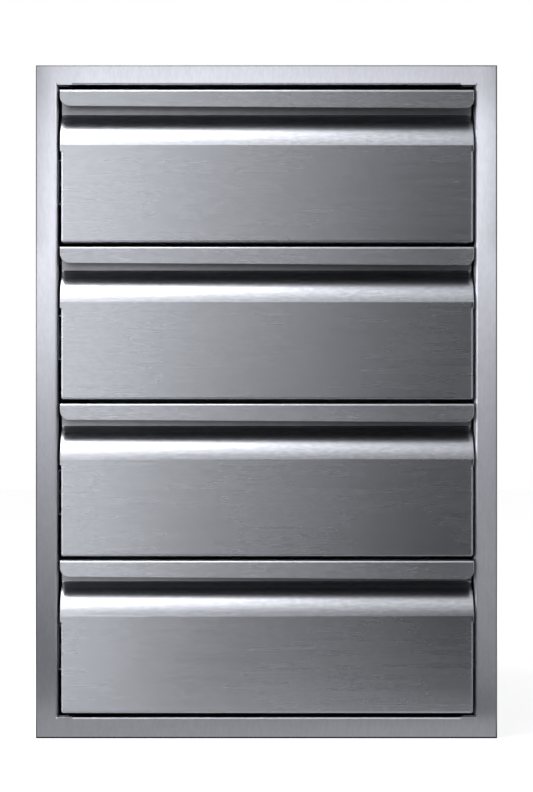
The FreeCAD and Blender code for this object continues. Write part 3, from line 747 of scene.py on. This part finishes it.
floorCard = {
    "lift": 0.001,
    "strip": 0.47, "stripEnd": 0.125, "stripFade": 0.04,   # even strip at the unit's foot
    "across": ((-2.1, 0.15), (-0.6, 0.15), (-0.30, 0.15), (-0.22, 0.74), (-0.17, 0.68), (-0.12, 0.40),
               (-0.05, 0.21), (0.0, 0.17), (0.07, 0.12), (0.13, 0.065), (0.19, 0.01), (0.23, 0.02),
               (0.28, 0.40), (0.36, 0.90), (0.60, 0.85), (2.1, 0.7)),
    "out": ((0.19, 0.85), (0.6, 0.80), (1.4, 0.95), (2.72, 1.2)),
}


def makeFloorCard():
    lift, stripEnd = floorCard["lift"], floorCard["stripEnd"]
    tree, sideways, out, _ = wideCard("floorCard", ((0, lift), (frontCard["behind"], lift)))
    across = levelRamp(tree, onUnit(tree, sideways, out), floorCard["across"])
    level = mathNode(tree, "MULTIPLY", across, levelRamp(tree, out, floorCard["out"]))
    beyond = mapRange(tree, out, stripEnd, stripEnd + floorCard["stripFade"])
    strip = mathNode(tree, "MULTIPLY", mathNode(tree, "SUBTRACT", 1.0, beyond), floorCard["strip"])
    glowCard(tree, mathNode(tree, "MULTIPLY_ADD", level, beyond, strip))


overheadCard = {
    "strength": 1.3,
    "profile": ((2.73, 1.5), (2.73, 2.0), (2.5, 2.4), (2.1, 2.7), (1.5, 2.85), (-0.6, 2.9)),  # out, up
    "from": 0.35,            # height its angles are taken from
    "fan": 2.6,
    "across": ((-1.0, 2.0), (-0.25, 1.85), (-0.185, 1.75), (-0.10, 1.45), (0.0, 1.22), (0.11, 1.06),
               (0.18, 0.92), (0.25, 0.85), (1.0, 0.9)),
    "rise": ((20, 0.12), (33, 0.34), (45, 0.72), (58, 1.0)),     # degrees up
    "fall": ((60, 1.0), (68, 0.85), (80, 0.45), (92, 0.25)),
    "fallSlant": 35,         # degrees per metre to the right
    "left": ((-1.0, 8.0), (-0.25, 7.0), (-0.15, 4.6), (-0.05, 2.2), (0.05, 0.7), (0.12, 0.0)),
    "leftRise": ((55, 0.0), (75, 1.0)),
    "shrink": 0.1,
}


def makeOverheadCard():
    tree, sideways, out, height = wideCard("overheadCard", overheadCard["profile"])
    place = onUnit(tree, sideways, overheadCard["fan"])
    across = levelRamp(tree, place, overheadCard["across"], overheadCard["shrink"])
    climb = mathNode(tree, "ARCTAN2", mathNode(tree, "SUBTRACT", height, overheadCard["from"]), out)
    climb = mathNode(tree, "DEGREES", climb)
    slanted = mathNode(tree, "MULTIPLY_ADD", place, overheadCard["fallSlant"], climb)
    angle = mathNode(tree, "MULTIPLY", levelRamp(tree, climb, overheadCard["rise"]),
                     levelRamp(tree, slanted, overheadCard["fall"]))
    left = mathNode(tree, "MULTIPLY", levelRamp(tree, place, overheadCard["left"], overheadCard["shrink"]),
                    levelRamp(tree, climb, overheadCard["leftRise"]))
    level = mathNode(tree, "MULTIPLY_ADD", across, angle, left)
    glowCard(tree, mathNode(tree, "MULTIPLY", level, overheadCard["strength"]))


# seen only in the bends that turn aside: bright on the left, dark on the right
sideCards = {
    "tall": 1.5,
    "out": 1.6, "deep": 1.9,             # how far out they begin, and how far back they reach from there
    "cards": {"leftCard": {"at": -3.0, "strength": 2.6}, "rightCard": {"at": 3.0, "strength": 0.4}},
}


def makeSideCards():
    for name, card in sideCards["cards"].items():
        profile = [(card["at"], frontY - sideCards["out"], up) for up in (0, sideCards["tall"])]
        glowCard(cardSheet(name, profile, (0, sideCards["deep"], 0)), card["strength"])
    print("hung the cards")


lamps = {
    "overheadLamp": {"at": (-0.6, -0.5, 2.2), "toward": (0, -0.28, 0.35), "size": (1.6, 1.2), "watts": 28},
    "leftLamp": {"at": (-2.2, -1.4, 1.1), "toward": (0, -0.28, 0.35), "size": (1.0, 1.4), "watts": 30},
}


def makeLamps():
    for name, facts in lamps.items():
        data = bpy.data.lights.new(name, "AREA")
        data.shape = "RECTANGLE"
        data.size, data.size_y = facts["size"]
        data.energy = facts["watts"]
        lamp = addObject(name, data)
        lamp.location = facts["at"]
        aim = Vector(facts["toward"]) - Vector(facts["at"])
        lamp.rotation_euler = aim.to_track_quat("-Z", "Y").to_euler()
        lamp.visible_camera = False
        lamp.visible_glossy = False
    print("placed", len(lamps), "lamps")


makeCamera()
made = dressNodes()
makeSheets(made)
makeScrews(made)
makeFloor()
makeWorld()
makeFrontCard()
makeFloorCard()
makeOverheadCard()
makeSideCards()
makeLamps()
bpy.context.scene.view_settings.view_transform = "Standard"
